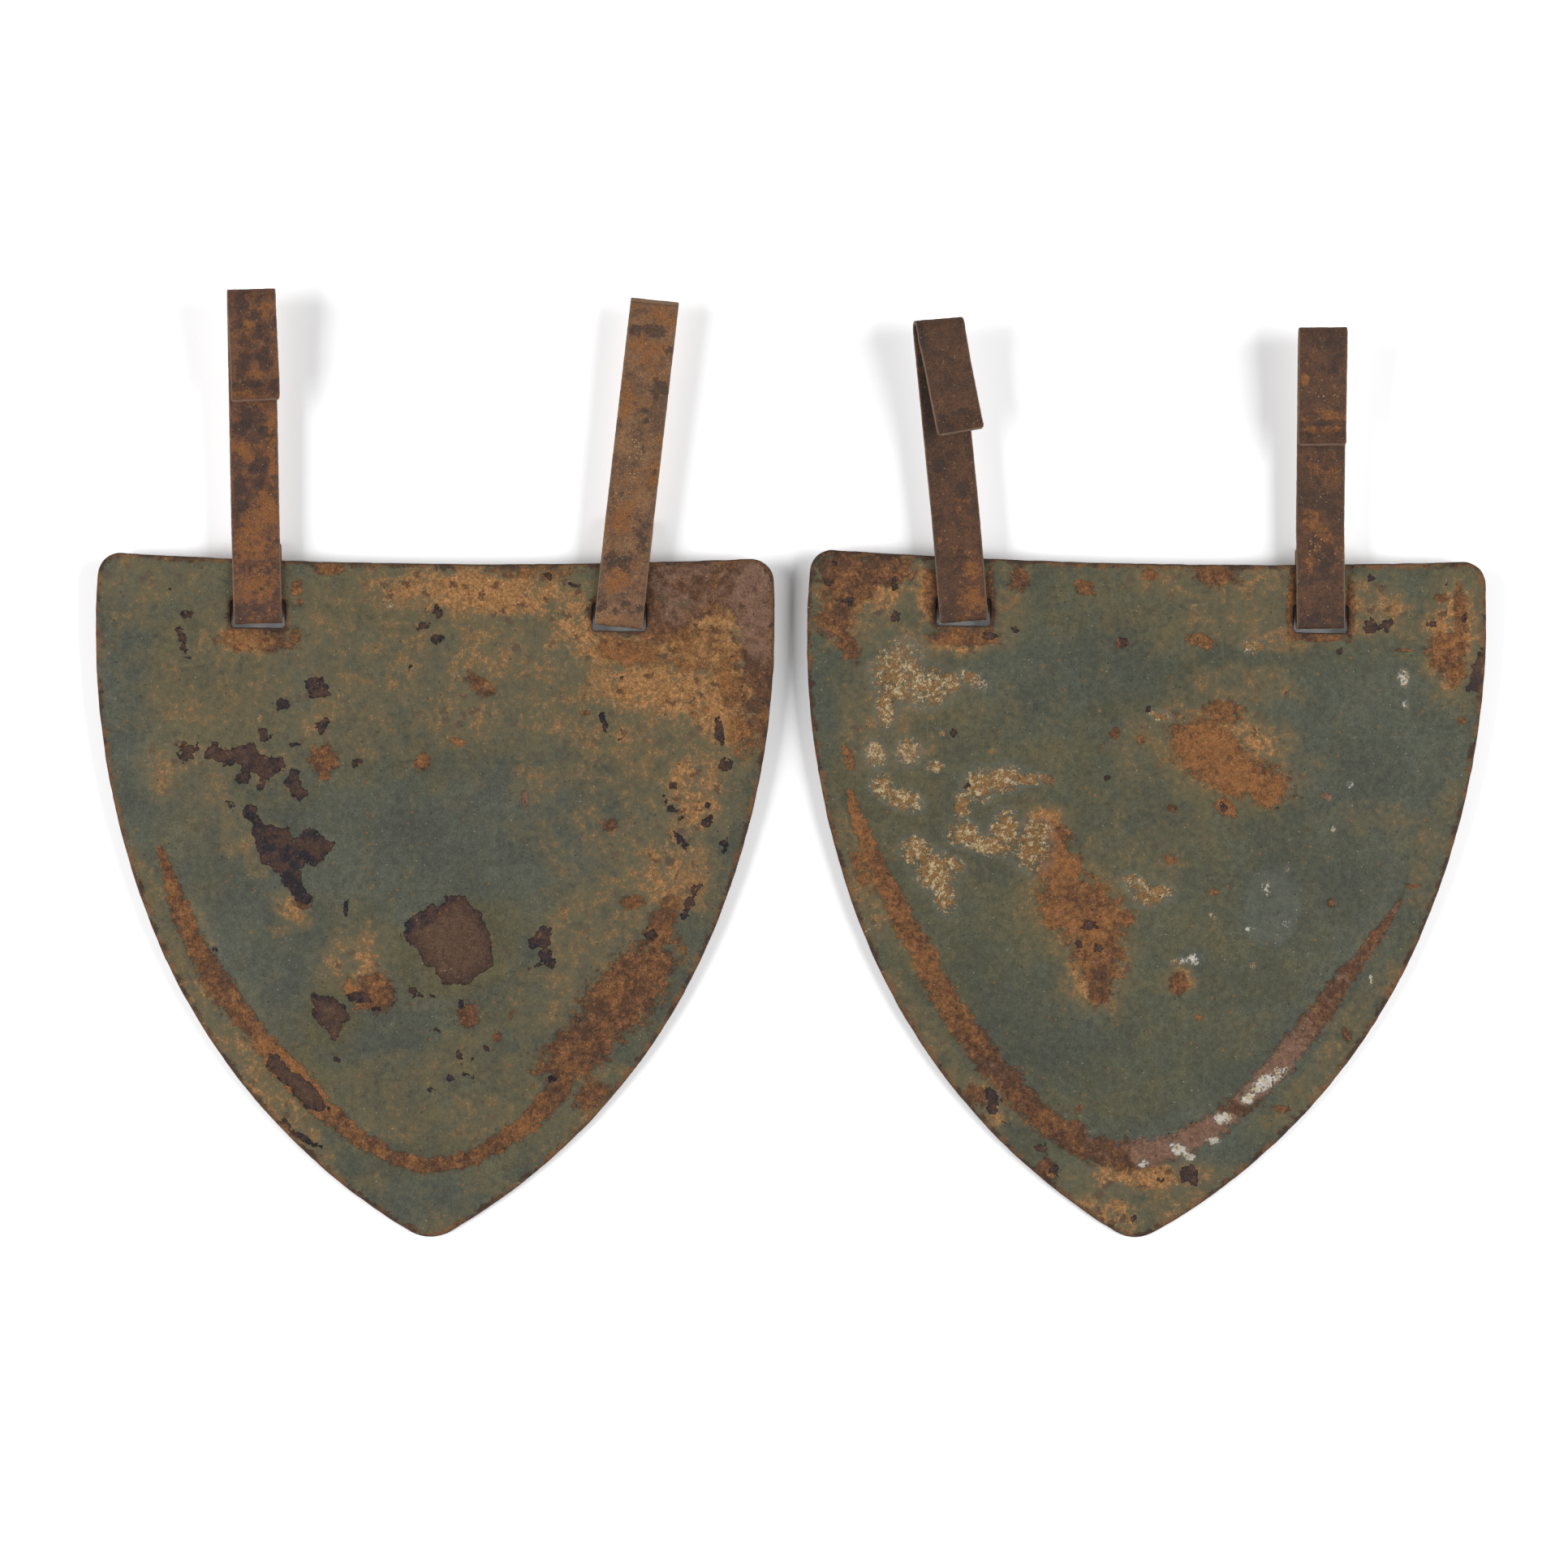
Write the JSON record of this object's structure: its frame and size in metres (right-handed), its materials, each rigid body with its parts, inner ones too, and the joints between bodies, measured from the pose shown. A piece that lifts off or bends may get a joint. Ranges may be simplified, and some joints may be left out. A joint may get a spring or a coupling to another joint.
{
  "type": "pair of cheek guards",
  "caption": "Pair of shield-shaped sheet-steel cheek guards, each hung from steel straps with spring hooks that clip over a helmet's inner band.",
  "frame": {"origin": "on the table, under the middle of the pair's bounding box", "axes": "+X to the right across the pair, +Y up the plates towards the hooks, +Z off the table, out of the plates' faces"},
  "size_m": [0.2865, 0.1953, 0.0111],
  "materials": {
    "field_grey_paint": "dull paint, worn and rusty",
    "rusted_strip": "bare, rusted brown"
  },
  "bodies": {
    "left_guard": {"left_plate": "field_grey_paint"},
    "right_guard": {"right_plate": "field_grey_paint"},
    "left_outer_strap": {"left_outer_strap": "rusted_strip"},
    "left_inner_strap": {"left_inner_strap": "rusted_strip"},
    "right_inner_strap": {"right_inner_strap": "rusted_strip"},
    "right_outer_strap": {"right_outer_strap": "rusted_strip"}
  },
  "joints": [
    {"name": "left_outer_swing", "type": "hinge", "parent": "left_guard", "child": "left_outer_strap", "pos_m": [-0.10972, 0.03086, 0.0035], "axis": [-0.0002, -0.0234, 0.9997], "range_deg": [-10.5, 6.5]},
    {"name": "left_inner_swing", "type": "hinge", "parent": "left_guard", "child": "left_inner_strap", "pos_m": [-0.03533, 0.03018, 0.0035], "axis": [-0.0002, -0.0234, 0.9997], "range_deg": [-3, 14]},
    {"name": "guards_apart", "type": "slide", "parent": "left_guard", "child": "right_guard", "axis": [1, 0, 0], "range_m": [0, 0.1]},
    {"name": "right_inner_swing", "type": "hinge", "parent": "right_guard", "child": "right_inner_strap", "pos_m": [0.03551, 0.03127, 0.0035], "axis": [-0.0004, -0.0234, 0.9997], "range_deg": [-14.3, 2.7]},
    {"name": "right_outer_swing", "type": "hinge", "parent": "right_guard", "child": "right_outer_strap", "pos_m": [0.10909, 0.0298, 0.0035], "axis": [-0.0004, -0.0234, 0.9997], "range_deg": [-10.2, 6.8]}
  ]
}
